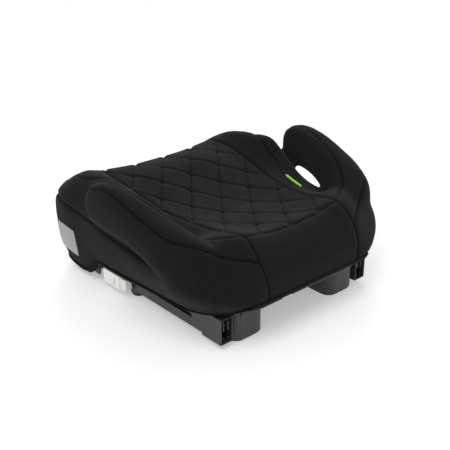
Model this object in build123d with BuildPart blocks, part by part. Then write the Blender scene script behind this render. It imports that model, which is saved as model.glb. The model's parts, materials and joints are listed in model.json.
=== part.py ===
from build123d import *
import os
from math import cos, radians, sin

# Child's booster seat with two pull-out rigid anchor connectors.
# Millimetres. +Z up, the seat faces -Y, the connectors point to +Y.
# The origin is on the floor under the middle of the seat. "left" is the child's left, +X.

os.makedirs("parts", exist_ok=True)

# ---- padded seat body --------------------------------------------------------------
front_y = -204.0            # foremost face of the cushion
rear_y = 204.0              # rearmost face of the cushion
seat_z = 132.0              # sitting surface at the middle of the seat
bolster_z = 181.0           # crest of the raised thigh bolsters
quilt_half_width = 97.0     # half width of the quilted panel at mid length
crest_half_width = 150.0    # where the bolster crest runs at the front
shell_half_width = 158.0    # plastic base under the cushion
side_overhang = 29.0        # widest line of the cushion sides past the base
waist_overhang = 24.0       # cushion side at half its height
hem_overhang = 10.0         # lower edge of the cover
side_half_width = shell_half_width + side_overhang
waist_half_width = shell_half_width + waist_overhang
hem_half_width = shell_half_width + hem_overhang
cover_thickness = 3.0       # padded knit cover
below_floor = -20.0         # where the cushion loft starts, trimmed away at the hem
wide = 600.0                # larger than the object, for cutting

# hem line of the cover, (y, z) from front to rear, with the arch over the release grips
hem_front_z = 7.0
hem_side_z = 36.0
hem_corner_z = 52.0
hem_rear_z = 68.0
hem_band = 7.0              # height of the stitched binding
quilt_rear_y = 155.0        # seam between quilted panel and rear panel
front_seam_y = -192.0       # seam between quilted panel and front panel

# ---- plastic base ------------------------------------------------------------------
shell_front_y = -188.0
shell_rear_y = 184.0
shell_front_radius = 55.0
shell_rear_radius = 72.0
shell_wall = 3.0
deck_z = 96.0               # top of the base under the foam
shell_lip = 2.0             # how far the skirt stops above the hem
rear_lip_drop = 9.0         # rear lip that shows below the hem
foam_gap = 0.3              # soft parts to their neighbours

rib_thickness = 2.6
rib_bottom_z = 58.0
rib_xs = (-50.0, 0.0, 50.0)
rib_ys = (-120.0, -30.0, 60.0)

rear_foot_width = 60.0
rear_foot_length = 62.0
rear_foot_x = 97.0
rear_foot_y = 141.0
rear_foot_radius = 19.0
front_foot_width = 54.0
front_foot_length = 40.0
front_foot_x = 112.0
front_foot_y = -150.0
front_foot_radius = 16.0
pad_height = 4.0
pad_inset = 4.0
mid_foot_y = -38.0
mid_foot_radius = 13.0

boss_radius = 6.5
lip_half_width = 118.0
lip_front_y = 150.0
notch_x = 26.0
notch_width = 22.0

# ---- connector rails, +X side, mirrored to the other -------------------------------
connector_x = 140.0         # half of the 280 mm anchor spacing
rail_width = 18.0
rail_bottom_z = 10.7
rail_height = 36.0
rail_wall = 2.0
rail_front_y = -108.0
mouth_front_y = 130.0
mouth_rear_y = 171.0
mouth_width = 22.0
mouth_bottom_z = 8.7
mouth_height = 40.0
mouth_chamfer = 0.8
socket_y = 145.0            # rear end of the rail inside its mouth block
mid_foot_x = 136.5
slot_bottom_z = 25.0
slot_height = 6.0
slot_spare = 19.0           # slot length left behind the tab when the connector is out
slot_front_y = -92.0
ear_length = 18.0
ear_width = 14.0
ear_thickness = 3.0
ear_ys = (-80.0, 92.0)
screw_radius = 2.0
screw_head_radius = 3.8
screw_head_height = 2.4
screw_length = 9.0
drive_width = 1.2
fit_gap = 0.3               # running gap round sliding pieces

# ---- connector arm -----------------------------------------------------------------
arm_thickness = 5.0
arm_front_y = -100.0
arm_rear_y = 108.0
head_front_y = 66.0
head_rear_y = 168.0
plate_thickness = 3.0
bar_radius = 3.0            # anchor bar of the vehicle
seat_clearance = 0.1        # radial, round the anchor bar
bar_y = 146.0
bar_z = 23.0
jaw_mouth = 11.0            # flare of the jaw at its rear end
rivet_radius = 2.5
rivet_ys = (76.0, 98.0)
pivot_y = 130.0
pivot_z = 37.0
hook_thickness = 4.4
hook_open_angle = 25.0
slide_travel = 140.0        # how far the connectors pull out
tooth_pitch = 12.0
tooth_depth = 2.0

# ---- release grip ------------------------------------------------------------------
grip_front_y = -90.0
grip_length = 43.0
grip_bottom_z = 11.2
grip_height = 23.3
grip_outer_x = 167.0
grip_wall = 1.5
grip_radius = 1.2
button_length = 13.0        # what shows behind the grip
button_lap = 2.0            # full width of the button inside the grip's mouth
button_travel = 8.0
shank_length = 18.0
neck_length = 14.0
tab_length = 6.0
tab_y = -54.0               # rear face of the release rod's tab
neck_y = -79.0
arm_heel_y = -75.0
head_chamfer = 3.0
jaw_throat_y = 154.0
rivet_head_radius = 4.0
rivet_head_height = 0.8
hook_fillet = 1.2
pivot_clearance = 0.05
grip_side_gap = 0.4
button_chamfer = 1.8
spring_x = 157.0
spigot_radius = 2.0
spigot_length = 4.0
bore_depth = 12.0
window_y = -60.0
window_height = 11.0
flag_travel = 3.0           # one flag width
flag_thickness = 1.0
rod_thickness = 3.0
rod_rear_y = 114.0
spring_radius = 3.0
spring_wire = 0.8
spring_turns = 5

# ---- armrests ----------------------------------------------------------------------
horn_overhang = 39.0        # middle of the armrest tip past the base
horn_tip_x = shell_half_width + horn_overhang
horn_tip_y = -30.0
horn_flare = 15.0           # degrees outward going forward
horn_thickness = 34.0
horn_top_z = 202.0
horn_bevel = 8.0
horn_bevel_angle = 38.0
core_inset = 9.0
core_thickness = 16.0
flange_thickness = 5.0
flange_front_y = 78.0
flange_rear_y = 118.0
flange_bottom_z = 64.0
armrest_screw_zs = (72.0, 84.0)
armrest_screw_ys = (88.0, 108.0)

# ---- trim --------------------------------------------------------------------------
guide_front_y = 12.0
guide_rear_y = 50.0
guide_width = 5.0
guide_height = 2.6
patch_front_y = -184.0
patch_rear_y = -150.0
patch_bottom_z = 38.0
patch_top_z = 88.0
patch_thickness = 0.8


# cushion stations from front to rear: y, then half-section points (x, z) for
# seat middle, quilt edge, bolster crest, side seam, waist and lower edge
def stations(growth):
    g = growth
    rows = (
        (front_y - g, seat_z - 12, (quilt_half_width + 10, seat_z - 8),
         (crest_half_width - 18, seat_z - 6), (side_half_width - 35, 112), (waist_half_width - 32, 74),
         hem_half_width - 30),
        (front_y + 14 - g / 2, seat_z + 6, (quilt_half_width + 15, seat_z + 14),
         (crest_half_width - 4, seat_z + 20), (side_half_width - 10, 124), (waist_half_width - 10, 72),
         hem_half_width - 8),
        (-155, seat_z + 24, (quilt_half_width + 20, seat_z + 33), (crest_half_width, bolster_z - 11),
         (side_half_width + 1, 130), (waist_half_width - 2, 80), hem_half_width - 2),
        (-100, seat_z + 25, (quilt_half_width + 19, seat_z + 29), (crest_half_width, bolster_z),
         (side_half_width, 124), (waist_half_width - 1, 80), hem_half_width),
        (-60, seat_z + 17, (quilt_half_width + 17, seat_z + 22), (crest_half_width, bolster_z - 5),
         (side_half_width - 1, 118), (waist_half_width - 1, 80), hem_half_width),
        (-20, seat_z + 6, (quilt_half_width + 14, seat_z + 12), (crest_half_width - 5, seat_z + 14),
         (side_half_width - 3, 114), (waist_half_width, 80), hem_half_width),
        (50, seat_z - 1, (quilt_half_width + 5, seat_z + 8), (crest_half_width - 25, seat_z + 3),
         (side_half_width - 3, 112), (waist_half_width + 4, 82), hem_half_width),
        (100, seat_z + 2, (quilt_half_width - 2, seat_z + 12), (crest_half_width - 25, seat_z + 10),
         (side_half_width - 2, 116), (waist_half_width + 6, 84), hem_half_width - 2),
        (quilt_rear_y, seat_z + 8, (quilt_half_width - 4, seat_z + 16), (crest_half_width - 25, seat_z + 12),
         (side_half_width - 24, 122), (waist_half_width, 88), hem_half_width - 12),
        (rear_y - 18 + g / 2, seat_z - 8, (quilt_half_width - 4, seat_z - 10),
         (crest_half_width - 30, seat_z - 16), (side_half_width - 44, 104), (waist_half_width - 34, 86),
         hem_half_width - 34),
        (rear_y + g, seat_z - 32, (quilt_half_width - 4, seat_z - 34), (quilt_half_width + 1, seat_z - 40),
         (quilt_half_width + 6, 86), (quilt_half_width + 7, 76), quilt_half_width + 1),
    )
    return [
        (y, [(0, middle + g), (edge[0], edge[1] + g), (crest[0] + g * 0.5, crest[1] + g),
             (side[0] + g, side[1] + g * 0.3), (waist[0] + g, waist[1]), (foot_x + g, below_floor)])
        for y, middle, edge, crest, side, waist, foot_x in rows
    ]


def cushion(growth):
    """The whole padded body, grown outward by growth (negative shrinks it)."""
    with BuildPart() as body:
        for y, half in reversed(stations(growth)):
            points = half + [(-x, z) for x, z in reversed(half[1:])]
            with BuildSketch(Plane.XZ.offset(-y)):
                with BuildLine():
                    Polyline(*points, close=True)
                make_face()
        loft(ruled=True)
    return body.part


def below_hem(lift):
    """Everything under the hem line, raised by lift."""
    line = [
        (front_y - 30, hem_front_z), (rail_front_y - 8, hem_front_z), (rail_front_y - 4, hem_side_z - 8),
        (rail_front_y + 4, hem_side_z), (20, hem_side_z + 5), (95, hem_side_z + 10),
        (150, hem_corner_z), (176, hem_corner_z + 3), (194, hem_rear_z - 6), (rear_y + 30, hem_rear_z + 2),
    ]
    with BuildPart() as block:
        with BuildSketch(Plane.YZ):
            with BuildLine():
                Polyline(*[(y, z + lift) for y, z in line],
                         (rear_y + 30, below_floor - 20), (front_y - 30, below_floor - 20), close=True)
            make_face()
        extrude(amount=wide / 2, both=True)
    return block.part


def column(points, bottom=below_floor, top=300.0):
    """A vertical prism over a plan outline."""
    with BuildPart() as prism:
        with BuildSketch(Plane.XY.offset(bottom)):
            with BuildLine():
                Polyline(*points, close=True)
            make_face()
        extrude(amount=top - bottom)
    return prism.part


def plan_line(index):
    """Plan points of one seam: where the station point of that index runs, front to rear."""
    return [(half[index][0], y) for y, half in stations(0)]


def shell_block(inset, bottom, top):
    """Plan outline of the base, moved in by inset, between two heights."""
    half = shell_half_width - inset
    front = shell_front_y + inset
    rear = shell_rear_y - inset
    with BuildPart() as block:
        with BuildSketch(Plane.XY.offset(bottom)):
            with BuildLine():
                Polyline((-half, front), (half, front), (half, rear), (-half, rear), close=True)
            make_face()
            fillet(vertices().group_by(Axis.Y)[0], shell_front_radius - inset)
            fillet(vertices().group_by(Axis.Y)[-1], shell_rear_radius - inset)
        extrude(amount=top - bottom)
    return block.part


def box(x0, x1, y0, y1, z0, z1):
    """A plain box between two corners."""
    with BuildPart() as block:
        with BuildSketch(Plane.XY.offset(z0)):
            with Locations(((x0 + x1) / 2, (y0 + y1) / 2)):
                Rectangle(x1 - x0, y1 - y0)
        extrude(amount=z1 - z0)
    return block.part


def trimmed(base, minus=(), within=()):
    """A copy of base less some solids, kept only inside some others."""
    with BuildPart() as piece:
        add(base)
        for tool in minus:
            add(tool, mode=Mode.SUBTRACT)
        for tool in within:
            add(tool, mode=Mode.INTERSECT)
    return piece.part


def write(part, name):
    part.label = name
    export_step(part, f"parts/{name}.step")


def write_pair(part, name):
    """Write the +X piece as left and its mirror image as right."""
    write(part, f"{name}_left")
    write(mirror(part, about=Plane.YZ, mode=Mode.PRIVATE), f"{name}_right")


# ---- armrest solids, used to cut their neighbours ------------------------------------
flare = radians(horn_flare)
horn_out = Vector(cos(flare), sin(flare), 0)
horn_back = Vector(-sin(flare), cos(flare), 0)
horn_tip = Vector(horn_tip_x, horn_tip_y, 0)
# side outline of the armrest: distance behind its tip, and height
horn_line = (
    (-18, horn_top_z - 54), (-34, horn_top_z - 44), (-38, horn_top_z - 30), (-32, horn_top_z - 14),
    (-16, horn_top_z - 3), (4, horn_top_z), (34, horn_top_z - 3), (82, horn_top_z - 15),
    (118, horn_top_z - 30), (146, horn_top_z - 52), (164, horn_top_z - 80), (150, horn_top_z - 104),
    (118, horn_top_z - 80), (96, horn_top_z - 70), (40, horn_top_z - 62),
)


def horn(inset, thickness, bevel):
    """The armrest's forward-pointing horn: a plate on its flared plane with bevelled sides."""
    flat = thickness / 2 - bevel
    with BuildPart() as plate:
        for way in (1, -1):
            face_plane = Plane(origin=horn_tip, x_dir=horn_back, z_dir=horn_out * way)
            for start, depth, taper in ((0, flat, 0), (flat, bevel, horn_bevel_angle)):
                if depth:
                    with BuildSketch(face_plane.offset(start)):
                        with BuildLine():
                            Polyline(*[(u, z * way) for u, z in horn_line], close=True)
                        make_face()
                        if inset:
                            offset(amount=-inset, kind=Kind.INTERSECTION, mode=Mode.REPLACE)
                    extrude(amount=depth, taper=taper)
    return plate.part


# ---- padded cover --------------------------------------------------------------------
cushion_outer = cushion(0)
cushion_inner = cushion(-cover_thickness)
shell_solid = shell_block(0, below_floor, deck_z)
core_plate = trimmed(horn(core_inset, core_thickness, 0), minus=[shell_solid])
core_flange = box(shell_half_width, shell_half_width + flange_thickness, flange_front_y, flange_rear_y,
                  flange_bottom_z, horn_top_z - 70)

with BuildPart() as armrest_core:
    add(core_plate)
    add(core_flange)
    with Locations(*[
        Location((shell_half_width, y, z), (0, 90, 0)) for y in armrest_screw_ys for z in armrest_screw_zs
    ]):
        Cylinder(screw_radius, flange_thickness * 4, mode=Mode.SUBTRACT)
core_left = armrest_core.part
core_right = mirror(core_left, about=Plane.YZ, mode=Mode.PRIVATE)
cores = [core_left, core_right]
write_pair(core_left, "armrest_core")

under_cover = below_hem(hem_band)
full_skin = trimmed(cushion_outer, minus=[cushion_inner, *cores])
cover_skin = trimmed(full_skin, minus=[under_cover])

edge_line = plan_line(1)
crest_line = plan_line(2)
bolster_end = 6             # station where the bolster runs out
far_front = front_y - 30
far_rear = rear_y + 30


def seam_x(line, y):
    """Where a seam runs at a given y, straight between its stations."""
    if y <= line[0][1]:
        return line[0][0]
    for (x0, y0), (x1, y1) in zip(line, line[1:]):
        if y <= y1:
            return x0 + (x1 - x0) * (y - y0) / (y1 - y0)
    return line[-1][0]


def middle_column(front, rear):
    """Plan prism between the two quilt edges, from y = front to y = rear."""
    ys = [front, *[y for _, y in edge_line if front < y < rear], rear]
    edge = [(seam_x(edge_line, y), y) for y in ys]
    return column(edge + [(-x, y) for x, y in reversed(edge)])


bolster_column = column([
    (edge_line[0][0], far_front), *edge_line[:bolster_end + 1],
    *reversed(crest_line[:bolster_end + 1]), (crest_line[0][0], far_front),
])
side_column = column([
    (crest_line[0][0], far_front), *crest_line[:bolster_end + 1], *edge_line[bolster_end:],
    (edge_line[-1][0], far_rear), (wide, far_rear), (wide, far_front),
])
write(trimmed(cover_skin, within=[middle_column(front_seam_y, quilt_rear_y)]), "quilted_seat_panel")
write(trimmed(cover_skin, within=[middle_column(far_front, front_seam_y)]), "front_panel")
write(trimmed(cover_skin, within=[middle_column(quilt_rear_y, far_rear)]), "rear_panel")
write_pair(trimmed(cover_skin, within=[bolster_column]), "bolster_panel")
write_pair(trimmed(cover_skin, within=[side_column]), "side_panel")
write(trimmed(full_skin, minus=[below_hem(0)], within=[under_cover]), "hem_binding")


guide_corners = [
    (seam_x(crest_line, y) + way * guide_width / 2, y)
    for y, ways in ((guide_front_y, (-1, 1)), (guide_rear_y, (1, -1))) for way in ways
]
guide_column = column(guide_corners, bottom=deck_z)
write_pair(trimmed(cushion(guide_height), minus=[cushion_outer], within=[guide_column]), "belt_guide")

patch_box = box(quilt_half_width, wide / 2, patch_front_y, patch_rear_y, patch_bottom_z, patch_top_z)
write(trimmed(cushion(patch_thickness), minus=[cushion_outer], within=[patch_box]), "side_patch")

# ---- foam and armrest padding ----------------------------------------------------------
flange_outer_x = shell_half_width + flange_thickness
screw_pockets = [
    box(*sorted((side * shell_half_width, side * (flange_outer_x + screw_head_height + foam_gap))),
        armrest_screw_ys[0] - 2 * screw_head_radius, armrest_screw_ys[-1] + 2 * screw_head_radius,
        armrest_screw_zs[0] - 2 * screw_head_radius, armrest_screw_zs[-1] + 2 * screw_head_radius)
    for side in (1, -1)
]
write(trimmed(cushion_inner, minus=[under_cover, shell_solid, *cores, *screw_pockets]), "seat_foam")
inner_horn = horn(cover_thickness, horn_thickness - 2 * cover_thickness, horn_bevel)
outer_horn = horn(0, horn_thickness, horn_bevel)
write_pair(trimmed(outer_horn, minus=[inner_horn, cushion_outer, core_left]), "armrest_cover")
write_pair(trimmed(inner_horn, minus=[cushion_outer, core_left]), "armrest_foam")


# ---- plastic base ----------------------------------------------------------------------
def rounded_column(centre, width, length, radius, bottom, top):
    """An upright block with rounded corners."""
    with BuildPart() as block:
        with BuildSketch(Plane.XY.offset(bottom)):
            with Locations(centre):
                RectangleRounded(width, length, radius)
        extrude(amount=top - bottom)
    return block.part


foot_rows = [
    (rear_foot_x, rear_foot_y, rear_foot_width, rear_foot_length, rear_foot_radius),
    (front_foot_x, front_foot_y, front_foot_width, front_foot_length, front_foot_radius),
]
foot_shells = []
foot_cores = []
pads = []
for foot_x, foot_y, width, length, radius in foot_rows:
    for side in (1, -1):
        centre = (foot_x * side, foot_y)
        foot_shells.append(rounded_column(centre, width, length, radius, pad_height, deck_z - shell_wall))
        foot_cores.append(rounded_column(
            centre, width - 2 * shell_wall, length - 2 * shell_wall, radius - shell_wall,
            pad_height + shell_wall, deck_z))
        pads.append(rounded_column(
            centre, width - 2 * pad_inset, length - 2 * pad_inset, radius - pad_inset, 0, pad_height))

boss_x = connector_x - rail_width / 2 - ear_width / 2
rail_top_z = rail_bottom_z + rail_height
ribs = [
    box(x - rib_thickness / 2, x + rib_thickness / 2, shell_front_y + shell_wall, shell_rear_y - shell_wall,
        rib_bottom_z, deck_z - shell_wall) for x in rib_xs
] + [
    box(shell_wall - shell_half_width, shell_half_width - shell_wall,
        y - rib_thickness / 2, y + rib_thickness / 2, rib_bottom_z, deck_z - shell_wall) for y in rib_ys
]
shell_cavity = shell_block(shell_wall, below_floor, deck_z - shell_wall)
lip_box = box(-lip_half_width, lip_half_width, lip_front_y, rear_y, below_floor, deck_z)
notch_box = box(notch_x, notch_x + notch_width, lip_front_y, rear_y, below_floor, hem_rear_z - rear_lip_drop)
raised_hem = trimmed(below_hem(shell_lip), minus=[lip_box])
dropped_hem = below_hem(-rear_lip_drop)

with BuildPart() as base_shell:
    add(shell_solid)
    add(shell_cavity, mode=Mode.SUBTRACT)
    for tool in (raised_hem, dropped_hem, notch_box):
        add(tool, mode=Mode.SUBTRACT)
    for rib in ribs:
        add(rib)
    for foot in foot_shells:
        add(foot)
    for hollow in foot_cores:
        add(hollow, mode=Mode.SUBTRACT)
    for side in (1, -1):
        with BuildSketch(Plane.XY.offset(rail_top_z)):
            with Locations(*[(side * boss_x, y) for y in ear_ys]):
                Circle(boss_radius)
        extrude(amount=deck_z - shell_wall - rail_top_z)
        with BuildSketch(Plane.XY.offset(rail_top_z)):
            with Locations(*[(side * boss_x, y) for y in ear_ys]):
                Circle(screw_radius)
        extrude(amount=screw_length, mode=Mode.SUBTRACT)
        with Locations(*[
            Location((side * shell_half_width, y, z), (0, 90, 0))
            for y in armrest_screw_ys for z in armrest_screw_zs
        ]):
            Cylinder(screw_radius, shell_wall * 4, mode=Mode.SUBTRACT)
write(base_shell.part, "base_shell")

# ---- connector rails -------------------------------------------------------------------
rail_outer_x = connector_x + rail_width / 2
slot_top_z = slot_bottom_z + slot_height
slot_rear_y = tab_y + slide_travel + slot_spare
floor_z = rail_bottom_z + rail_wall
roof_z = rail_top_z - rail_wall

with BuildPart() as rail_housing:
    with BuildSketch(Plane.XZ.offset(-rail_front_y)):
        with Locations((connector_x, rail_bottom_z + rail_height / 2)):
            Rectangle(rail_width, rail_height)
    extrude(amount=rail_front_y - socket_y)
    with BuildSketch(Plane.XZ.offset(-rail_front_y - rail_wall)):
        with Locations((connector_x, rail_bottom_z + rail_height / 2)):
            Rectangle(rail_width - 2 * rail_wall, rail_height - 2 * rail_wall)
    extrude(amount=rail_front_y + rail_wall - socket_y, mode=Mode.SUBTRACT)
    with BuildSketch(Plane.YZ.offset(rail_outer_x)):
        with Locations(((slot_front_y + slot_rear_y) / 2, slot_bottom_z + slot_height / 2)):
            Rectangle(slot_rear_y - slot_front_y, slot_height)
    extrude(amount=-rail_wall, mode=Mode.SUBTRACT)
    with BuildSketch(Plane.XY.offset(rail_top_z)):
        with Locations(*[(boss_x, y) for y in ear_ys]):
            Rectangle(ear_width, ear_length)
    extrude(amount=-ear_thickness)
    with BuildSketch(Plane.XY.offset(rail_top_z)):
        with Locations(*[(boss_x, y) for y in ear_ys]):
            Circle(screw_radius)
    extrude(amount=-ear_thickness, mode=Mode.SUBTRACT)
    with BuildSketch(Plane.XY.offset(rail_bottom_z)):
        with Locations((mid_foot_x, mid_foot_y)):
            Circle(mid_foot_radius)
    extrude(amount=pad_height - rail_bottom_z)
write_pair(rail_housing.part, "rail_housing")

with BuildPart() as rail_mouth:
    with BuildSketch(Plane.XZ.offset(-mouth_rear_y)):
        with Locations((connector_x, mouth_bottom_z + mouth_height / 2)):
            Rectangle(mouth_width, mouth_height)
            Rectangle(rail_width, rail_height, mode=Mode.SUBTRACT)
    extrude(amount=mouth_rear_y - mouth_front_y)
    chamfer(edges().group_by(Axis.Y)[-1], mouth_chamfer)
write_pair(rail_mouth.part, "rail_mouth")

with BuildPart() as pad_set:
    for pad in pads:
        add(pad)
    with BuildSketch(Plane.XY):
        with Locations((mid_foot_x, mid_foot_y), (-mid_foot_x, mid_foot_y)):
            Circle(mid_foot_radius - pad_inset / 2)
    extrude(amount=pad_height)
write(pad_set.part, "foot_pads")


def screw_at(plane):
    """A pan-head screw: its head stands out of the plane, its shank runs behind it."""
    with BuildPart() as screw:
        with BuildSketch(plane):
            Circle(screw_head_radius)
        extrude(amount=screw_head_height)
        with BuildSketch(plane.offset(screw_head_height)):
            Rectangle(screw_head_radius * 1.2, drive_width)
            Rectangle(drive_width, screw_head_radius * 1.2)
        extrude(amount=-screw_head_height / 2, mode=Mode.SUBTRACT)
        with BuildSketch(plane):
            Circle(screw_radius)
        extrude(amount=-screw_length)
    return screw.part


rail_screws = [
    screw_at(Plane(origin=(side * boss_x, y, rail_top_z - ear_thickness), x_dir=(1, 0, 0), z_dir=(0, 0, -1)))
    for side in (1, -1) for y in ear_ys
]
armrest_screws = [
    screw_at(Plane(origin=(side * flange_outer_x, y, z), x_dir=(0, 1, 0),
                   z_dir=(side, 0, 0)))
    for side in (1, -1) for y in armrest_screw_ys for z in armrest_screw_zs
]
write(Compound(children=rail_screws), "rail_screws")
write(Compound(children=armrest_screws), "armrest_screws")


# ---- connector arms --------------------------------------------------------------------
arm_bottom_z = floor_z + fit_gap
arm_top_z = roof_z - fit_gap
rod_bottom_z = arm_top_z - rod_thickness
groove_z = rod_bottom_z - fit_gap
arm_inner_x = connector_x - arm_thickness / 2
arm_outer_x = connector_x + arm_thickness / 2
seat_radius = bar_radius + seat_clearance
tooth_count = int((head_front_y - arm_front_y) / tooth_pitch) - 1
tooth_ys = [arm_front_y + tooth_pitch * (i + 1) for i in range(tooth_count)]

with BuildPart() as connector_arm:
    with BuildSketch(Plane.YZ.offset(arm_inner_x)):
        with BuildLine():
            Polyline((arm_front_y, arm_bottom_z), (arm_rear_y, arm_bottom_z), (arm_rear_y, groove_z),
                     (arm_heel_y, groove_z), (arm_heel_y, arm_top_z), (arm_front_y, arm_top_z), close=True)
        make_face()
        with Locations(*[(y, arm_bottom_z) for y in tooth_ys]):
            Rectangle(tooth_pitch / 2, tooth_depth * 2, mode=Mode.SUBTRACT)
        with Locations(*[(y, bar_z) for y in rivet_ys]):
            Circle(rivet_radius, mode=Mode.SUBTRACT)
    extrude(amount=arm_thickness)
write_pair(connector_arm.part, "connector_arm")

with BuildPart() as head_plates:
    for inner_x in (arm_inner_x - plate_thickness, arm_outer_x):
        with BuildSketch(Plane.YZ.offset(inner_x)):
            with BuildLine():
                Polyline((head_front_y, arm_bottom_z), (head_rear_y, arm_bottom_z), (head_rear_y, arm_top_z),
                         (head_front_y, arm_top_z), close=True)
            make_face()
            chamfer(vertices(), head_chamfer)
            with Locations((bar_y, bar_z)):
                Circle(seat_radius, mode=Mode.SUBTRACT)
            with BuildLine():
                Polyline((bar_y, bar_z - seat_radius), (jaw_throat_y, bar_z - seat_radius),
                         (head_rear_y, bar_z - jaw_mouth / 2), (head_rear_y, bar_z + jaw_mouth / 2),
                         (jaw_throat_y, bar_z + seat_radius), (bar_y, bar_z + seat_radius), close=True)
            make_face(mode=Mode.SUBTRACT)
            with Locations((pivot_y, pivot_z), *[(y, bar_z) for y in rivet_ys]):
                Circle(rivet_radius, mode=Mode.SUBTRACT)
        extrude(amount=plate_thickness)
write_pair(head_plates.part, "head_plates")


def headed_pin(y, z):
    """A rivet across both head plates, with a low head on each side."""
    grip = arm_thickness + 2 * plate_thickness
    with BuildPart() as pin:
        with BuildSketch(Plane.YZ.offset(connector_x - grip / 2)):
            with Locations((y, z)):
                Circle(rivet_radius)
        extrude(amount=grip)
        for start, way in ((connector_x - grip / 2, -1), (connector_x + grip / 2, 1)):
            with BuildSketch(Plane.YZ.offset(start)):
                with Locations((y, z)):
                    Circle(rivet_head_radius)
            extrude(amount=way * rivet_head_height)
    return pin.part


write_pair(Compound(children=[headed_pin(y, bar_z) for y in rivet_ys]), "head_rivets")
write_pair(headed_pin(pivot_y, pivot_z), "hook_pivot")

# hook outline in its closed position, relative to the pivot
hook_line = [
    (bar_y + 3.7 - pivot_y, bar_z - 4.2 - pivot_z), (bar_y + 3.7 - pivot_y, bar_z + 4.0 - pivot_z),
    (bar_y - pivot_y, bar_z + 5.4 - pivot_z), (-2, -6), (-8, -1), (-7, 4.5), (6, 4), (15, -0.5),
    (23, -3.5), (28, -8), (bar_y + 10.5 - pivot_y, bar_z - 2 - pivot_z),
    (bar_y + 7 - pivot_y, bar_z - 4.5 - pivot_z),
]
lift = radians(hook_open_angle)
with BuildPart() as latch_hook:
    with BuildSketch(Plane.YZ.offset(connector_x - hook_thickness / 2)):
        with BuildLine():
            Polyline(*[
                (pivot_y + y * cos(lift) - z * sin(lift), pivot_z + y * sin(lift) + z * cos(lift))
                for y, z in hook_line
            ], close=True)
        make_face()
        fillet(vertices(), hook_fillet)
        with Locations((pivot_y, pivot_z)):
            Circle(rivet_radius + pivot_clearance, mode=Mode.SUBTRACT)
    extrude(amount=hook_thickness)
write_pair(latch_hook.part, "latch_hook")

# ---- release grips ---------------------------------------------------------------------
grip_inner_x = rail_outer_x + grip_side_gap
grip_rear_y = grip_front_y + grip_length
grip_mid_z = grip_bottom_z + grip_height / 2
slot_mid_z = slot_bottom_z + slot_height / 2
neck_height = slot_height - 2 * fit_gap
window_width = flag_travel - 2 * fit_gap
cavity_inner_x = grip_inner_x + grip_wall
cavity_outer_x = grip_outer_x - grip_wall
press_front_y = tab_y - tab_length - button_travel - fit_gap
tab_inner_x = arm_outer_x + fit_gap
tab_outer_x = rail_outer_x - rail_wall - fit_gap
with BuildPart() as release_grip:
    with BuildSketch(Plane.YZ.offset(grip_inner_x)):
        with Locations(((grip_front_y + grip_rear_y) / 2, grip_mid_z)):
            Rectangle(grip_length, grip_height)
    extrude(amount=grip_outer_x - grip_inner_x)
    fillet(edges().filter_by(Axis.Y) + edges().group_by(Axis.Y)[0], grip_radius)
    with BuildSketch(Plane.XZ.offset(-grip_rear_y)):
        with Locations(((cavity_inner_x + cavity_outer_x) / 2, grip_mid_z)):
            Rectangle(cavity_outer_x - cavity_inner_x, grip_height - 2 * grip_wall)
    extrude(amount=grip_length - grip_wall, mode=Mode.SUBTRACT)
    with BuildSketch(Plane.YZ.offset(cavity_outer_x)):
        with Locations((window_y, grip_mid_z)):
            Rectangle(window_width, window_height)
    extrude(amount=grip_wall, mode=Mode.SUBTRACT)
    with BuildSketch(Plane.YZ.offset(grip_inner_x)):
        with BuildLine():
            Polyline((press_front_y, slot_bottom_z), (grip_rear_y, slot_bottom_z),
                     (grip_rear_y, slot_top_z), (press_front_y, slot_top_z), close=True)
        make_face()
    extrude(amount=grip_wall, mode=Mode.SUBTRACT)
    with BuildSketch(Plane.YZ.offset(arm_outer_x)):
        with Locations((neck_y, slot_mid_z)):
            Rectangle(neck_length, neck_height)
    extrude(amount=cavity_inner_x - arm_outer_x)
    with BuildSketch(Plane.XZ.offset(-grip_front_y - grip_wall)):
        with Locations((spring_x, grip_mid_z)):
            Circle(spigot_radius)
    extrude(amount=-spigot_length)
write_pair(release_grip.part, "release_grip")

button_rear_y = grip_rear_y + button_length
button_front_y = grip_rear_y - shank_length
button_outer_x = cavity_outer_x - fit_gap
button_inner_x = cavity_inner_x + fit_gap
shank_outer_x = cavity_outer_x - flag_thickness - 2 * fit_gap
button_height = grip_height - 2 * grip_wall - 2 * fit_gap
with BuildPart() as release_button:
    with BuildSketch(Plane.XZ.offset(-button_rear_y)):
        with Locations(((button_inner_x + button_outer_x) / 2, grip_mid_z)):
            Rectangle(button_outer_x - button_inner_x, button_height)
    extrude(amount=button_length + button_lap)
    chamfer(edges().group_by(Axis.Y)[-1], button_chamfer)
    with BuildSketch(Plane.XZ.offset(button_lap - grip_rear_y)):
        with Locations(((button_inner_x + shank_outer_x) / 2, grip_mid_z)):
            Rectangle(shank_outer_x - button_inner_x, button_height)
    extrude(amount=shank_length - button_lap)
    with BuildSketch(Plane.XZ.offset(-button_front_y)):
        with Locations((spring_x, grip_mid_z)):
            Circle(spring_radius + spring_wire)
    extrude(amount=-bore_depth, mode=Mode.SUBTRACT)
write_pair(release_button.part, "release_button")

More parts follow.
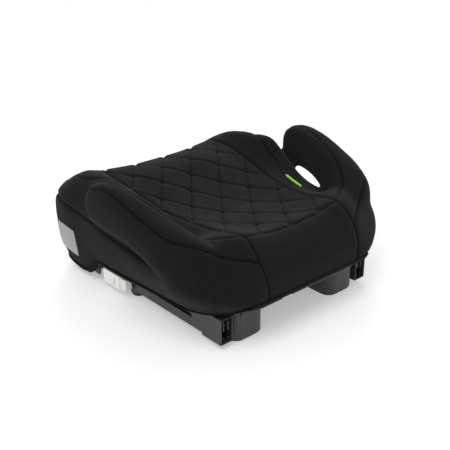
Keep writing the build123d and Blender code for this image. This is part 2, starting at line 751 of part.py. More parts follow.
with BuildPart() as release_rod:
    with BuildSketch(Plane.YZ.offset(arm_inner_x + fit_gap)):
        with Locations(((tab_y - tab_length + rod_rear_y) / 2, (rod_bottom_z + arm_top_z) / 2)):
            Rectangle(rod_rear_y - tab_y + tab_length, rod_thickness)
    extrude(amount=arm_thickness - 2 * fit_gap)
    with BuildSketch(Plane.XZ.offset(-tab_y)):
        with BuildLine():
            Polyline((arm_outer_x - fit_gap, arm_top_z), (tab_outer_x, arm_top_z),
                     (tab_outer_x, slot_mid_z + neck_height / 2),
                     (button_inner_x, slot_mid_z + neck_height / 2),
                     (button_inner_x, slot_mid_z - neck_height / 2),
                     (tab_inner_x, slot_mid_z - neck_height / 2),
                     (tab_inner_x, rod_bottom_z), (arm_outer_x - fit_gap, rod_bottom_z), close=True)
        make_face()
    extrude(amount=tab_length)
write_pair(release_rod.part, "release_rod")

with BuildPart() as latch_flag:
    with BuildSketch(Plane.YZ.offset(shank_outer_x + fit_gap)):
        with Locations((window_y, grip_mid_z)):
            Rectangle(flag_travel, button_height)
    extrude(amount=flag_thickness)
write_pair(latch_flag.part, "latch_flag")

spring_length = button_front_y + bore_depth - button_travel - fit_gap - grip_front_y - grip_wall
spring_front_y = grip_front_y + grip_wall + spring_wire / 2
with BuildPart() as button_spring:
    with BuildLine() as coil:
        Helix((spring_length - spring_wire) / spring_turns, spring_length - spring_wire, spring_radius,
              center=(spring_x, spring_front_y, grip_mid_z), direction=(0, 1, 0))
    with BuildSketch(Plane(origin=coil.line @ 0, z_dir=coil.line % 0)):
        Circle(spring_wire / 2)
    sweep(is_frenet=True)
write_pair(button_spring.part, "button_spring")
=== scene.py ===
import bmesh
import bpy
import json
from math import cos, pi, radians, sin
from mathutils import Matrix, Vector
from mathutils.bvhtree import BVHTree
from mathutils.kdtree import KDTree
import numpy as np


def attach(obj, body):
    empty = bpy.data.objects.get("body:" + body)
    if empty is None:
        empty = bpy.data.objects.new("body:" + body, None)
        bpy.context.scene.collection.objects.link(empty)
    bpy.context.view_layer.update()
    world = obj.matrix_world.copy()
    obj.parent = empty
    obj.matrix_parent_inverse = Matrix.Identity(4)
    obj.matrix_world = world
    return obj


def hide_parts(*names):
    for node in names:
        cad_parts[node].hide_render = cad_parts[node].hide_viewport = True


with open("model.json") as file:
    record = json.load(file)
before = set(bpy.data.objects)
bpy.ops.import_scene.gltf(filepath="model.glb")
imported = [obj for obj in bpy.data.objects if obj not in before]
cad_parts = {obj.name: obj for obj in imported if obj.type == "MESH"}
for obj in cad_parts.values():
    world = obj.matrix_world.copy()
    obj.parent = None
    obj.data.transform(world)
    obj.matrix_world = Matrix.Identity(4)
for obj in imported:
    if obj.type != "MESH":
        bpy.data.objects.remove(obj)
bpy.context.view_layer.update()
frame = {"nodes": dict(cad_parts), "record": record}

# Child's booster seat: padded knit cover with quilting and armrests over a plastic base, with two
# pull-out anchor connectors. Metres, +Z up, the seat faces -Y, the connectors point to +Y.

NODES = frame["nodes"]
MM = 0.001


# ---- shader maths ----------------------------------------------------------------------
class Value:
    """A shader socket that takes part in Python expressions."""

    def __init__(self, material, socket):
        self.material = material
        self.socket = socket

    def math(self, operation, *others):
        return self.material.node("ShaderNodeMath", {"operation": operation},
                                  {0: self, **{i + 1: other for i, other in enumerate(others)}})

    def __add__(self, other): return self.math("ADD", other)
    def __mul__(self, other): return self.math("MULTIPLY", other)

    def within(self, low, high):
        """0 below low, 1 above high, smooth between."""
        return self.material.node("ShaderNodeMapRange", {"interpolation_type": "SMOOTHSTEP"},
                                  {"Value": self, "From Min": low, "From Max": high})


class Material:
    """A procedural material built from node calls."""

    def __init__(self, name, color, roughness, **settings):
        self.data = bpy.data.materials.new(name)
        self.data.use_nodes = True
        self.tree = self.data.node_tree
        self.shader = self.tree.nodes["Principled BSDF"]
        self.data.diffuse_color = (*color, 1)
        self.shader.inputs["Base Color"].default_value = (*color, 1)
        self.shader.inputs["Roughness"].default_value = roughness
        for socket, value in settings.items():
            self.shader.inputs[socket.replace("_", " ")].default_value = value

    def node(self, kind, settings, inputs, output=0):
        made = self.tree.nodes.new(kind)
        for name, value in settings.items():
            setattr(made, name, value)
        for name, value in inputs.items():
            if isinstance(value, Value):
                self.tree.links.new(value.socket, made.inputs[name])
            else:
                made.inputs[name].default_value = value
        return Value(self, made.outputs[output])

    def place(self):
        return self.node("ShaderNodeTexCoord", {}, {}, "Object")

    def attribute(self, name):
        return self.node("ShaderNodeAttribute", {"attribute_name": name}, {}, "Fac")

    def noise(self, scale, detail=2.0, vector=None):
        return self.node("ShaderNodeTexNoise", {}, {"Vector": vector or self.place(), "Scale": scale,
                                                    "Detail": detail}, "Fac")

    def mix(self, factor, first, second):
        """Colour mix: first at 0, second at 1."""
        def tone(value):
            return value if isinstance(value, Value) else (*value, 1)
        return self.node("ShaderNodeMix", {"data_type": "RGBA"},
                         {0: factor, 6: tone(first), 7: tone(second)}, 2)

    def feed(self, socket, value):
        self.tree.links.new(value.socket, self.shader.inputs[socket])

    def bump(self, height, distance, strength=1.0):
        self.feed("Normal", self.node("ShaderNodeBump", {}, {"Height": height, "Distance": distance,
                                                             "Strength": strength}, "Normal"))


def tinted(color, share):
    return tuple(channel * share for channel in color)


BROAD_RANGE = (0.3, 0.7)    # noise at which a broad tone change starts, and is full

# tones of the knit, as shares of its colour
WORN, FRESH = 0.86, 1.16
FUZZ_TONE = 1.5
LOOP_GAP_TONE = 0.5
# painted shade in the grooves of the seams and quilting lines
SEAM_SHADE_TONE = 0.25
SEAM_SHADE = (0.0007, 0.0031)   # distance to a seam or quilting line at which its painted shade is full, and gone, m
KNIT_PATCHES = 9.0              # broad tone changes per metre
FUZZ_LOOPS = 6                  # loops across a tuft of fuzz
FUZZ_RANGE, FUZZ_SHARE = (0.35, 0.75), 0.5
GAP_RANGE, GAP_SHARE = (0.2, 0.75), 0.55
KNIT_DEPTH = 0.0004
KNIT_STRENGTH = 0.35


def knit_cloth(name, color, loop=0.0011):
    """Matt knitted cover cloth with fine loops, faint wear and painted shade along the seams and quilting
    lines.
    """
    cloth = Material(name, color, 0.95, Sheen_Weight=0.05, Sheen_Roughness=0.5,
                     Specular_IOR_Level=0.1)
    cloth.shader.inputs["Sheen Tint"].default_value = (0.75, 0.76, 0.8, 1)
    place = cloth.place()
    loops = cloth.node("ShaderNodeTexVoronoi", {"feature": "F1"}, {"Vector": place, "Scale": 1 / loop},
                       "Distance")
    fuzz = cloth.noise(1 / (loop * FUZZ_LOOPS), 3.0, place)
    broad = cloth.noise(KNIT_PATCHES, 2.0, place)
    seam = cloth.attribute("seam").within(*SEAM_SHADE)
    tone = cloth.mix(broad.within(*BROAD_RANGE), tinted(color, WORN), tinted(color, FRESH))
    tone = cloth.mix(fuzz.within(*FUZZ_RANGE) * FUZZ_SHARE, tone, tinted(color, FUZZ_TONE))
    tone = cloth.mix(loops.within(*GAP_RANGE) * GAP_SHARE, tone, tinted(color, LOOP_GAP_TONE))
    # painted shade darkens the cloth near the seams and quilting lines
    cloth.feed("Base Color", cloth.mix(seam, tinted(color, SEAM_SHADE_TONE), tone))
    cloth.bump(loops * 0.5 + fuzz * 0.5, KNIT_DEPTH, KNIT_STRENGTH)
    return cloth.data


PLASTIC_GRAIN = 0.0006
PLASTIC_DEPTH = 0.00003
PLASTIC_PATCHES = 14.0      # broad tone changes per metre
PLASTIC_TONES = (0.9, 1.12)
PLASTIC_GLOSS_RANGE = 0.12


def moulded_plastic(name, color, roughness):
    """Injection moulded plastic with a fine grain and slight tone changes."""
    plastic = Material(name, color, roughness)
    grainy = plastic.noise(1 / PLASTIC_GRAIN)
    broad = plastic.noise(PLASTIC_PATCHES)
    darker, lighter = [tinted(color, share) for share in PLASTIC_TONES]
    plastic.feed("Base Color", plastic.mix(broad.within(*BROAD_RANGE), darker, lighter))
    plastic.feed("Roughness", broad * PLASTIC_GLOSS_RANGE + (roughness - PLASTIC_GLOSS_RANGE / 2))
    plastic.bump(grainy, PLASTIC_DEPTH)
    return plastic.data


ROLLED_GRAIN = (900, 60, 900)   # specks per metre along x, y and z, so the grain is long along y
STEEL_PATCHES = 60.0
STEEL_DULL = 0.82               # tone of the dull patches
STEEL_DULL_RANGE = (0.35, 0.7)
STEEL_GLOSS_RANGE = 0.2
STEEL_DEPTH = 0.00002


def plated_steel(name, color, roughness):
    """Zinc plated steel with a faint rolled grain."""
    steel = Material(name, color, roughness, Metallic=1.0)
    place = steel.place()
    stretched = steel.node("ShaderNodeMapping", {}, {"Vector": place, "Scale": ROLLED_GRAIN})
    grain = steel.noise(1.0, 2.0, stretched)
    steel.feed("Roughness", grain * STEEL_GLOSS_RANGE + (roughness - STEEL_GLOSS_RANGE / 2))
    bright = steel.noise(STEEL_PATCHES, 3.0, place).within(*STEEL_DULL_RANGE)
    steel.feed("Base Color", steel.mix(bright, tinted(color, STEEL_DULL), color))
    steel.bump(grain, STEEL_DEPTH)
    return steel.data


CLOTH = (0.0069, 0.0060, 0.0064)
cover_cloth = knit_cloth("cover_knit", CLOTH)
binding_cloth = knit_cloth("binding_tape", (0.0085, 0.0076, 0.0080), 0.0008)
FINISHES = {
    "cover_knit": cover_cloth,
    "binding_tape": binding_cloth,
    "patch_vinyl": moulded_plastic("patch_cloth", (0.26, 0.265, 0.255), 0.45),
    "foam": moulded_plastic("foam", (0.03, 0.03, 0.032), 0.95),
    "guide_plastic": moulded_plastic("guide_lime", (0.22, 0.60, 0.03), 0.35),
    "base_plastic": moulded_plastic("base_black", (0.020, 0.0192, 0.0205), 0.45),
    "rail_plastic": moulded_plastic("rail_black", (0.022, 0.021, 0.0222), 0.42),
    "foot_rubber": moulded_plastic("foot_rubber", (0.02, 0.02, 0.02), 0.8),
    "zinc_screw": plated_steel("zinc_screw", (0.6, 0.6, 0.62), 0.35),
    "connector_steel": plated_steel("connector_steel", (0.06, 0.06, 0.063), 0.45),
    "hook_steel": plated_steel("hook_steel", (0.75, 0.75, 0.76), 0.25),
    "grip_plastic": moulded_plastic("grip_white", (0.66, 0.665, 0.64), 0.4),
    "flag_plastic": moulded_plastic("flag_red", (0.6, 0.02, 0.02), 0.4),
    "spring_steel": plated_steel("spring_steel", (0.4, 0.4, 0.42), 0.3),
}
for row in frame["record"]["subparts"]:
    piece = NODES[row["node"]]
    piece.data.materials.clear()
    piece.data.materials.append(FINISHES[row["material_slot"]])


# edge radius of the moulded and pressed pieces, mm
EDGED = {"rail_housing": 0.6, "rail_mouth": 0.7, "release_grip": 1.2, "release_button": 0.9,
         "base_shell": 1.2, "foot_pads": 0.8, "head_plates": 0.3, "latch_hook": 0.4}
MERGE_DISTANCE = 0.00001    # m
SHARP_ANGLE = radians(35)
for name, piece in NODES.items():
    stem = name.removesuffix("_left").removesuffix("_right")
    if stem in EDGED:
        weld = piece.modifiers.new("weld", "WELD")
        weld.merge_threshold = MERGE_DISTANCE
        soft = piece.modifiers.new("soft_edges", "BEVEL")
        soft.width = EDGED[stem] * MM
        soft.segments = 3
        soft.limit_method = "ANGLE"
        soft.angle_limit = SHARP_ANGLE
        soft.harden_normals = True


# ---- mesh helpers ----------------------------------------------------------------------
def add_object(name, mesh):
    made = bpy.data.objects.new(name, mesh)
    bpy.context.scene.collection.objects.link(made)
    return made


def finish_bmesh(bm, name):
    bmesh.ops.recalc_face_normals(bm, faces=bm.faces)
    mesh = bpy.data.meshes.new(name)
    bm.to_mesh(mesh)
    bm.free()
    mesh.update()
    return mesh


def spread(points, samples):
    """Catmull-Rom curve through points, as an array of samples points, spaced by point index."""
    p = np.array(points, float)
    p = np.vstack([2 * p[0] - p[1], p, 2 * p[-1] - p[-2]])
    t = np.linspace(0, len(p) - 3 - 1e-9, samples)
    i = t.astype(int)
    f = (t - i)[:, None]
    a, b, c, d = p[i], p[i + 1], p[i + 2], p[i + 3]
    return 0.5 * (2 * b + (c - a) * f + (2 * a - 5 * b + 4 * c - d) * f ** 2
                  + (3 * b - a - 3 * c + d) * f ** 3)


def apply_modifiers(obj):
    """Make the object's mesh what its modifiers show."""
    bpy.context.view_layer.update()
    shown = obj.evaluated_get(bpy.context.evaluated_depsgraph_get())
    mesh = bpy.data.meshes.new_from_object(shown)
    obj.modifiers.clear()
    obj.data = mesh


def coordinates(mesh):
    co = np.empty(len(mesh.vertices) * 3, np.float32)
    mesh.vertices.foreach_get("co", co)
    return co.reshape(-1, 3).astype(float)


def set_coordinates(mesh, co):
    mesh.vertices.foreach_set("co", co.astype(np.float32).ravel())
    mesh.update()


# ---- padded body -----------------------------------------------------------------------
# stations from front to rear, mm: y, then (x, z) of seat middle, dip, quilt edge, crest, shoulder, side
# seam, waist and lower edge of the left-hand half
BODY_STATIONS = (
    (-204, (0, 112), (57, 112), (104, 114), (128, 115), (143, 112), (154, 96), (157, 60), (152, 17)),
    (-199, (0, 130), (57, 130), (107, 133), (132, 139), (154, 136), (170, 114), (172, 62), (160, 15)),
    (-188, (0, 142), (57, 143), (112, 148), (137, 153), (165, 149), (184, 126), (181, 66), (165, 11)),
    (-155, (0, 159), (57, 160), (117, 166), (146, 172), (172, 162), (190, 129), (183, 72), (167, 7)),
    (-124, (0, 163), (57, 164), (117, 164), (149, 180), (172, 166), (187, 127), (181, 74), (168, 13)),
    (-96, (0, 159), (57, 161), (116, 160), (149, 182), (171, 170), (186, 124), (181, 76), (168, 36)),
    (-60, (0, 148), (57, 151), (114, 154), (150, 179), (174, 174), (187, 122), (181, 78), (168, 37)),
    (-20, (0, 138), (57, 140), (111, 144), (146, 154), (168, 151), (186, 118), (182, 80), (168, 39)),
    (30, (0, 131), (56, 132), (106, 139), (134, 135), (160, 126), (186, 111), (186, 82), (168, 43)),
    (80, (0, 133), (54, 134), (98, 140), (126, 132), (158, 120), (189, 112), (189, 84), (168, 46)),
    (120, (0, 137), (52, 138), (92, 146), (124, 149), (166, 144), (195, 118), (194, 88), (164, 47)),
    (150, (0, 141), (50, 144), (92, 152), (124, 147), (158, 136), (184, 115), (186, 88), (154, 50)),
    (172, (0, 134), (49, 137), (92, 141), (118, 133), (142, 120), (164, 105), (170, 86), (142, 55)),
    (190, (0, 119), (48, 121), (91, 121), (108, 115), (122, 105), (136, 93), (144, 80), (126, 61)),
    (202, (0, 96), (46, 97), (88, 97), (98, 93), (106, 88), (112, 82), (116, 74), (106, 65)),
)
UNDERSIDE = 98.0        # height of the hollow over the base
SKIRT = 160.0           # half width of the hollow
SKIRT_THICKNESS = 5.0   # least width of the lower edge
HOLLOW_Y = (-190.5, 186.5)  # its front and rear ends
BODY_STEPS = 90         # sections along y
HALF_STEPS = 40         # points over half a section


def surface(stations, along, across):
    """Rows of (x, y, z) points: a smooth surface through the stations."""
    table = np.array([[(x, station[0], z) for x, z in station[1:]] for station in stations], float)
    lines = np.stack([spread(table[:, i], along) for i in range(table.shape[1])], 1)
    return [spread(line, across) for line in lines]


def skin_rings(rings):
    """A closed form from rings of points (mm) that follow each other."""
    bm = bmesh.new()
    loops = [[bm.verts.new(Vector(point) * MM) for point in ring] for ring in rings]
    for first, second in zip(loops, loops[1:]):
        for i in range(len(first)):
            j = (i + 1) % len(first)
            bm.faces.new((first[i], first[j], second[j], second[i]))
    bm.faces.new(loops[0])
    bm.faces.new(loops[-1][::-1])
    return bm


def body_shell():
    """Closed form of the seat pad, hollow over the base."""
    rings = []
    for half in surface(BODY_STATIONS, BODY_STEPS, HALF_STEPS):
        y = half[0][1]
        foot_x, _, foot_z = half[-1]
        inner_x = min(SKIRT, foot_x - SKIRT_THICKNESS)
        roof = UNDERSIDE if HOLLOW_Y[0] < y < HOLLOW_Y[1] else foot_z
        points = [tuple(point) for point in half]
        points += [(inner_x, y, foot_z), (inner_x, y, roof), (0, y, roof)]
        rings.append(points + [(-x, y, z) for x, y, z in points[-2:0:-1]])
    return skin_rings(rings)


# armrest sections from tip to root, mm: middle (x, y), lowest and highest z, half thickness, then the turn
# of the section in plan, degrees
HORN_STATIONS = (
    (202, -54, 157, 176, 6, 15), (202, -51.5, 147, 187, 12, 15), (201, -44, 141, 197, 17, 15),
    (199, -28, 138, 203.5, 19, 13), (197.5, -8, 135, 205.5, 20.5, 9), (194, 18, 132, 203, 23, 7),
    (189.5, 43, 127, 196.5, 26, 9), (185, 66, 117, 188.5, 28, 14), (180.5, 89, 103, 180, 30, 23),
    (173, 109, 94, 172, 30, 33), (163, 126, 88, 163, 29.5, 42), (148, 140, 84, 152, 25, 50),
    (130, 150, 82, 141, 18, 56), (113, 158, 82, 132, 13, 58),
)
HORN_STEPS = 70         # sections from tip to root
HORN_RING = 36          # points round a section
HORN_SQUARENESS = 2.7   # 2 is an ellipse


def horn_shell(side):
    """Closed form of an armrest: rounded upright sections along a curved plan line."""
    rings = []
    for x, y, low, high, half, turn in spread(HORN_STATIONS, HORN_STEPS):
        out = np.array((cos(radians(turn)), sin(radians(turn)), 0))
        ring = []
        for i in range(HORN_RING):
            c, s = cos(2 * pi * i / HORN_RING), sin(2 * pi * i / HORN_RING)
            reach = (abs(c) ** HORN_SQUARENESS + abs(s) ** HORN_SQUARENESS) ** (-1 / HORN_SQUARENESS)
            place = np.array((x, y, (low + high) / 2)) + out * half * c * reach
            place[2] += (high - low) / 2 * s * reach
            ring.append((place[0] * side, place[1], place[2]))
        rings.append(ring)
    return skin_rings(rings)


VOXEL = 4.0 * MM
SMOOTH_PASSES = 8
SMOOTH_SHARE = 0.5


def joined_cushion():
    """Body and both armrests as one skin of even faces."""
    whole = bmesh.new()
    for form in (body_shell(), horn_shell(1), horn_shell(-1)):
        whole.from_mesh(finish_bmesh(form, "form"))
    skin = add_object("seat_cover", finish_bmesh(whole, "seat_cover"))
    even = skin.modifiers.new("even", "REMESH")
    even.mode = "VOXEL"
    even.voxel_size = VOXEL
    ease = skin.modifiers.new("ease", "SMOOTH")
    ease.factor = SMOOTH_SHARE
    ease.iterations = SMOOTH_PASSES
    fine = skin.modifiers.new("fine", "SUBSURF")
    fine.levels = fine.render_levels = 1
    apply_modifiers(skin)
    return skin


# ---- seams -----------------------------------------------------------------------------
# points of each seam of the left-hand half, mm
QUILT_EDGE = ((112, -192, 146), (114, -155, 166), (118, -110, 163), (115, -75, 156), (112, -35, 147),
              (107, 0, 141), (101, 30, 139), (98, 70, 141), (96, 100, 144), (95, 130, 148),
              (93, 155, 152))
CREST_SEAM = ((155, -201, 126), (158, -190, 148), (163, -160, 167), (166, -130, 171), (162, -103, 175),
              (153, -78, 178), (147, -57, 173), (145, -40, 164), (143, -23, 153), (134, -2, 145),
              (126, 16, 142), (119, 38, 140))
SIDE_SEAM = ((0, -205, 108), (60, -205, 110), (120, -204, 120), (160, -198, 130), (181, -187, 134),
             (188, -142, 128), (187, -97, 121), (185, -56, 115), (184, -20, 111), (186, 30, 107),
             (190, 78, 108))
FRONT_SEAM = ((0, -192, 136), (60, -192, 136), (112, -192, 146))
REAR_SEAM = ((0, 155, 141), (50, 155, 147), (77, 155, 151), (93, 155, 152))
REAR_UPRIGHT = ((93, 155, 152), (94, 172, 140), (95, 187, 122), (93, 196, 98), (91.6, 202, 72))
ARM_INNER = ((199, -55, 170), (196, -50, 186), (194, -40, 197), (194, -26, 202), (194, -12, 205),
             (188.6, 3, 205), (184.3, 24, 202.4), (180.8, 43, 196.4), (176.4, 61, 190.6),
             (170.5, 77, 184), (164.3, 92, 176.7), (155.7, 105, 170), (145.7, 117, 163.6),
             (133, 127, 157), (119, 137, 151.6), (104, 146, 149), (93, 155, 152))
ARM_OUTER = ((204, -55, 166), (209, -49, 184), (212, -37, 194), (212, -24, 197), (210, -11, 200),
             (208, 10, 199), (207, 38, 192), (205, 64, 183), (201, 90, 173), (194, 112, 163),
             (178, 131, 153), (152, 150, 141), (128, 168, 134), (110, 179, 129), (95, 187, 123))
SEAMS = (       # line, depth and half width of each seam, mm
    (QUILT_EDGE, 3.2, 3.4), (CREST_SEAM, 1.6, 2.6), (SIDE_SEAM, 2.6, 3.0), (FRONT_SEAM, 2.4, 3.0),
    (REAR_SEAM, 2.4, 3.0), (REAR_UPRIGHT, 2.2, 2.8), (ARM_INNER, 1.8, 2.6), (ARM_OUTER, 3.0, 3.2),
)
HEM_RISE = 9.0          # how far the hem's stitching lies above the edge
HEM_GROOVE = (1.6, 2.6)
HEM_ENDS = 3            # sections left out of the hem's stitching at each end
SEAM_STEP = 0.0012      # m between the points of a seam on the cover
GRID_PITCH = 58.5       # spacing of the quilting lines across the seat
GRID_SLOPE = 0.8        # how far a quilting line runs across for each step back
QUILT_FRONT = -192.0
QUILT_REAR = 155.0
QUILT_LOWEST = 120.0
QUILT_UPWARD = 0.3      # least upward share of the normal on the quilted panel
QUILT_DEPTH = (4.2, 2.4)    # mm, of the lines that run left and back, and right and back
QUILT_SPREAD = 4.0      # mm from a line at which its press has fallen to about a third
QUILT_SLACK = 0.001     # m taken off that press, so that the middle of a diamond stays as it was
SEAM_FAR = 0.02         # no distance to a seam is noted beyond this, m
CURVE_STEPS = 12        # samples of a smooth line for each of its points


def hem_line():
    """The lower edge of the left-hand half, front to rear, mm."""
    return [ring[-1] for ring in surface(BODY_STATIONS, BODY_STEPS, HALF_STEPS)]


def both_sides(points):
    return [points, [(-x, y, z) for x, y, z in points]]


def resampled(points, step):
    """The smooth line through points, at even steps, in metres."""
    line = spread(points, len(points) * CURVE_STEPS) * MM
    lengths = np.r_[0, np.cumsum(np.linalg.norm(np.diff(line, axis=0), axis=1))]
    places = np.linspace(0, lengths[-1], max(2, int(lengths[-1] / step)))
    return np.stack([np.interp(places, lengths, line[:, axis]) for axis in range(3)], 1)


def laid_on(tree, line):
    """The line's points moved to the nearest places of the surface."""
    return np.array([tree.find_nearest(Vector(point))[0] for point in line])


def distances(points, line, reach):
    """How far each of points lies from a line of close points, at most reach."""
    tree = KDTree(len(line))
    for i, point in enumerate(line):
        tree.insert(point, i)
    tree.balance()
    low, high = line.min(0) - reach, line.max(0) + reach
    near = np.all((points > low) & (points < high), axis=1)
    found = np.full(len(points), reach)
    for i in np.nonzero(near)[0]:
        found[i] = min(reach, tree.find(points[i])[2])
    return found


def groove(distance, depth, width):
    return depth * MM * np.exp(-(distance / (width * MM)) ** 2)


def edge_half_width(y):
    edge = np.array(QUILT_EDGE)
    return np.interp(y, edge[:, 1], edge[:, 0])


def sew(skin):
    """Press the seams and the quilting into the cover and note the distance to them."""
    mesh = skin.data
    co = coordinates(mesh)
    normals = np.empty(len(mesh.vertices) * 3, np.float32)
    mesh.vertex_normals.foreach_get("vector", normals)
    normals = normals.reshape(-1, 3)
    tree = BVHTree.FromObject(skin, bpy.context.evaluated_depsgraph_get())
    sink = np.zeros(len(co))
    nearest = np.full(len(co), SEAM_FAR)
    hem = [(x, y, z + HEM_RISE) for x, y, z in hem_line()[HEM_ENDS:-HEM_ENDS]]
    for points, depth, width in (*SEAMS, (hem, *HEM_GROOVE)):
        for line in both_sides(points):
            away = distances(co, laid_on(tree, resampled(line, SEAM_STEP)), SEAM_FAR)
            sink = np.maximum(sink, groove(away, depth, width))
            nearest = np.minimum(nearest, away)
    x, y, z = (co / MM).T
    on_quilt = ((np.abs(x) < edge_half_width(y)) & (y > QUILT_FRONT) & (y < QUILT_REAR)
                & (normals[:, 2] > QUILT_UPWARD) & (z > QUILT_LOWEST))
    quilting = np.zeros(len(co))
    for way, depth in zip((-1, 1), QUILT_DEPTH):
        across = (x + way * GRID_SLOPE * y) / GRID_PITCH
        away = np.abs(across - np.round(across)) * GRID_PITCH / (1 + GRID_SLOPE ** 2) ** 0.5
        quilting += depth * np.exp(-away / QUILT_SPREAD)
        nearest = np.where(on_quilt, np.minimum(nearest, away * MM), nearest)
    sink = np.where(on_quilt, np.maximum(sink, quilting * MM - QUILT_SLACK), sink)
    set_coordinates(mesh, co - normals * sink[:, None])
    # this distance drives the painted shade along the seams and quilting lines in the cloth
    seam = mesh.attributes.new("seam", "FLOAT", "POINT")
    seam.data.foreach_set("value", nearest.astype(np.float32))


def smooth_shaded(mesh):
    mesh.polygons.foreach_set("use_smooth", [True] * len(mesh.polygons))


def dress(piece, body, slot, material, *replaced):
    """Give a finished piece its cloth or plastic, its body and the nodes it stands for."""
    piece.data.materials.clear()
    piece.data.materials.append(material)
    smooth_shaded(piece.data)
    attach(piece, body)
    if replaced:
        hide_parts(*replaced)


seat_cover = joined_cushion()
cover_tree = BVHTree.FromObject(seat_cover, bpy.context.evaluated_depsgraph_get())
sew(seat_cover)
dress(seat_cover, "seat", "cover_knit", cover_cloth,
      "seat_foam", "quilted_seat_panel", "front_panel", "rear_panel",
      *[f"{name}_{side}" for name in ("bolster_panel", "side_panel", "armrest_cover", "armrest_foam")
        for side in ("left", "right")])

CORE_BEND = -10.0       # the armrest core is shorter ahead of this y, mm
CORE_SHARE = 0.68       # its length there, as a share of the full one


def armrest_bracket(side):
    """Armrest core that ends inside the padded tip."""
    bm = bmesh.new()
    bm.from_mesh(NODES[f"armrest_core_{side}"].data)
    bmesh.ops.remove_doubles(bm, verts=bm.verts, dist=MERGE_DISTANCE)
    for vert in bm.verts:
        if vert.co.y < CORE_BEND * MM:
            vert.co.y = CORE_BEND * MM + (vert.co.y - CORE_BEND * MM) * CORE_SHARE
    name = f"armrest_bracket_{side}"
    bracket = add_object(name, finish_bmesh(bm, name))
    dress(bracket, "seat", "base_plastic", FINISHES["base_plastic"], f"armrest_core_{side}")
    bracket.data.set_sharp_from_angle(angle=SHARP_ANGLE)


for side in ("left", "right"):
    armrest_bracket(side)


# ---- trim that follows the cover -------------------------------------------------------
TAPE_RING = 16
TAPE_SQUARENESS = (0.5, 0.7)    # powers across and up: lower is squarer
TAPE_TAPER = 0.35               # size of an open strip's end, and its growth for each step from it


def tape(name, line, width, height, lift, closed):
    """Soft-edged strip laid along a line on the cover, its width on the surface and its height outwards."""
    angles = np.linspace(0, 2 * pi, TAPE_RING, endpoint=False)
    profile = [[abs(part) ** power * (1 if part > 0 else -1)
                for part, power in zip((cos(angle), sin(angle)), TAPE_SQUARENESS)] for angle in angles]
    count = len(line)
    bm = bmesh.new()
    rings = []
    for i, place in enumerate(line):
        place = Vector(place)
        ahead = Vector(line[(i + 1) % count] if closed else line[min(i + 1, count - 1)])
        behind = Vector(line[i - 1] if closed else line[max(i - 1, 0)])
        run = (ahead - behind).normalized()
        spot, out = cover_tree.find_nearest(place)[:2]
        out = (out - run * out.dot(run)).normalized()
        side = run.cross(out)
        taper = 1.0 if closed else min(1.0, TAPE_TAPER + TAPE_TAPER * min(i, count - 1 - i))
        rings.append([bm.verts.new(spot + side * (u * width / 2 * taper)
                                   + out * (lift + v * height / 2 * taper)) for u, v in profile])
    pairs = list(zip(rings, rings[1:])) + ([(rings[-1], rings[0])] if closed else [])
    for first, second in pairs:
        for i in range(len(first)):
            j = (i + 1) % len(first)
            bm.faces.new((first[i], first[j], second[j], second[i]))
    if not closed:
        bm.faces.new(rings[0])
        bm.faces.new(rings[-1][::-1])
    return add_object(name, finish_bmesh(bm, name))


BINDING_RISE = 3.5      # middle of the binding above the edge, mm
BINDING_STEP = 0.004    # m
half = [(x, y, z + BINDING_RISE) for x, y, z in hem_line()]
around = half + [(-x, y, z) for x, y, z in reversed(half)]
hem_binding = tape("hem_tape", resampled(around + around[:1], BINDING_STEP)[:-1],
                   width=0.0075, height=0.003, lift=0.0003, closed=True)
dress(hem_binding, "seat", "binding_tape", binding_cloth, "hem_binding")

GUIDE_STEP = 0.002      # m
GUIDE = ((131, 11, 139), (130, 22, 136), (129, 32, 134), (128, 42, 133), (127, 51, 132))
for side, points in zip(("left", "right"), both_sides(GUIDE)):
    guide = tape(f"guide_strip_{side}", resampled(points, GUIDE_STEP),
                 width=0.0042, height=0.0034, lift=0.0008, closed=False)
    dress(guide, "seat", "guide_plastic", FINISHES["guide_plastic"], f"belt_guide_{side}")

# middle, half size and turn of the patch as seen from its side: y and z, mm
PATCH_MIDDLE = (-165.0, 64.0)
PATCH_HALF = (24.0, 26.0)
PATCH_TURN = radians(-8)
PATCH_STEPS = 24
PATCH_ROUNDING = 0.06   # how far the corners draw in
PATCH_RIM = 0.95        # share of the half size where the sewn-down rim starts
PATCH_STAND = 0.0011    # metres off the cover: the middle of the patch, and its rim
RIM_STAND = 0.0002
PATCH_THICKNESS = 0.0008
BESIDE = 0.3            # x of the plane from which the patch is laid on the cover, m


def side_patch():
    """Plain patch sewn flat on the left front corner."""
    bm = bmesh.new()
    bmesh.ops.create_grid(bm, x_segments=PATCH_STEPS, y_segments=PATCH_STEPS, size=1.0)
    for vert in bm.verts:
        u, v = vert.co.x, vert.co.y
        shrink = 1 - PATCH_ROUNDING * (u * v) ** 2
        along, up = u * PATCH_HALF[0] * shrink, v * PATCH_HALF[1] * shrink
        y = PATCH_MIDDLE[0] + along * cos(PATCH_TURN) - up * sin(PATCH_TURN)
        z = PATCH_MIDDLE[1] + along * sin(PATCH_TURN) + up * cos(PATCH_TURN)
        spot, out = cover_tree.ray_cast(Vector((BESIDE, y * MM, z * MM)), Vector((-1, 0, 0)))[:2]
        vert.co = spot + out * (PATCH_STAND if max(abs(u), abs(v)) < PATCH_RIM else RIM_STAND)
    bmesh.ops.recalc_face_normals(bm, faces=bm.faces)
    bmesh.ops.solidify(bm, geom=bm.faces[:], thickness=PATCH_THICKNESS)
    return add_object("corner_patch", finish_bmesh(bm, "corner_patch"))


patch = side_patch()
dress(patch, "seat", "patch_vinyl", FINISHES["patch_vinyl"], "side_patch")

# ---- studio ----------------------------------------------------------------------------
FLOOR_TONE = (0.93, 0.93, 0.93)
FLOOR_HALF = 6.0
FLOOR_GLOW = 0.35       # share of the floor near the seat that shows plain white
GLOW_RADII = (0.45, 0.9)    # between these distances from the middle the floor turns all white


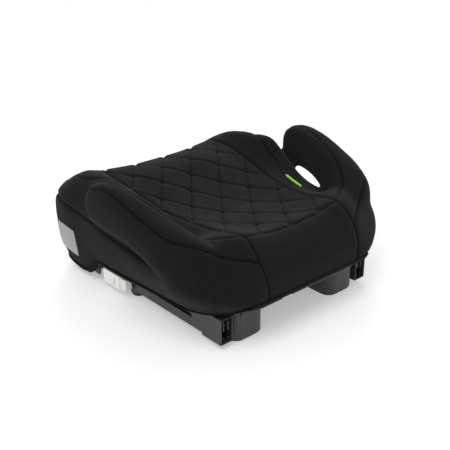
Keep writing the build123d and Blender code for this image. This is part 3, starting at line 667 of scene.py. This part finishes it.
def studio_floor():
    bm = bmesh.new()
    bmesh.ops.create_grid(bm, x_segments=2, y_segments=2, size=FLOOR_HALF)
    floor = add_object("studio_floor", finish_bmesh(bm, "studio_floor"))
    white = Material("studio_white", FLOOR_TONE, 0.6)
    out = white.tree.nodes["Material Output"]
    radius = white.node("ShaderNodeVectorMath", {"operation": "LENGTH"}, {0: white.place()}, "Value")
    rays = [white.node("ShaderNodeLightPath", {}, {}, f"Is {kind} Ray")
            for kind in ("Camera", "Glossy", "Transmission")]
    share = (radius.within(*GLOW_RADII) * (1 - FLOOR_GLOW) + FLOOR_GLOW) * (rays[0] + rays[1] + rays[2])
    glow = white.node("ShaderNodeEmission", {}, {"Color": (1, 1, 1, 1), "Strength": 1.0}, "Emission")
    blend = white.tree.nodes.new("ShaderNodeMixShader")
    white.tree.links.new(share.math("MINIMUM", 1.0).socket, blend.inputs[0])
    white.tree.links.new(white.shader.outputs[0], blend.inputs[1])
    white.tree.links.new(glow.socket, blend.inputs[2])
    white.tree.links.new(blend.outputs[0], out.inputs["Surface"])
    floor.data.materials.append(white.data)


LIGHT_TARGET = Vector((0, 0, 0.1))


def area_light(name, place, size, power):
    data = bpy.data.lights.new(name, "AREA")
    data.shape = "DISK"
    data.size = size
    data.energy = power
    lamp = bpy.data.objects.new(name, data)
    bpy.context.scene.collection.objects.link(lamp)
    lamp.location = place
    lamp.rotation_euler = (LIGHT_TARGET - Vector(place)).to_track_quat("-Z", "Y").to_euler()


studio_floor()
area_light("key", (0.9, 0.6, 1.9), size=1.4, power=24)
area_light("fill", (1.6, 1.6, 0.9), size=1.6, power=10)
area_light("back", (-1.2, -1.4, 1.4), size=1.6, power=18)

WORLD_STRENGTH = 0.7
world = bpy.data.worlds.new("studio")
world.use_nodes = True
world.node_tree.nodes["Background"].inputs["Color"].default_value = (1, 1, 1, 1)
world.node_tree.nodes["Background"].inputs["Strength"].default_value = WORLD_STRENGTH
bpy.context.scene.world = world
bpy.context.scene.view_settings.view_transform = "Standard"

# ---- camera ----------------------------------------------------------------------------
CAMERA_PLACE = Vector((0.7548, 0.8617, 0.6090))
CAMERA_HEADING = 0.7246     # angles in radians
CAMERA_DIP = 0.4278
CAMERA_ROLL = 0.0033
CAMERA_LENS = 63.7

camera_data = bpy.data.cameras.new("camera")
camera_data.sensor_width = 36.0
camera_data.lens = CAMERA_LENS
camera = bpy.data.objects.new("camera", camera_data)
bpy.context.scene.collection.objects.link(camera)
forward = Vector((-sin(CAMERA_HEADING) * cos(CAMERA_DIP), -cos(CAMERA_HEADING) * cos(CAMERA_DIP),
                  -sin(CAMERA_DIP)))
camera.location = CAMERA_PLACE
camera.rotation_euler = (forward.to_track_quat("-Z", "Y").to_matrix()
                         @ Matrix.Rotation(-CAMERA_ROLL, 3, "Z")).to_euler()
bpy.context.scene.camera = camera
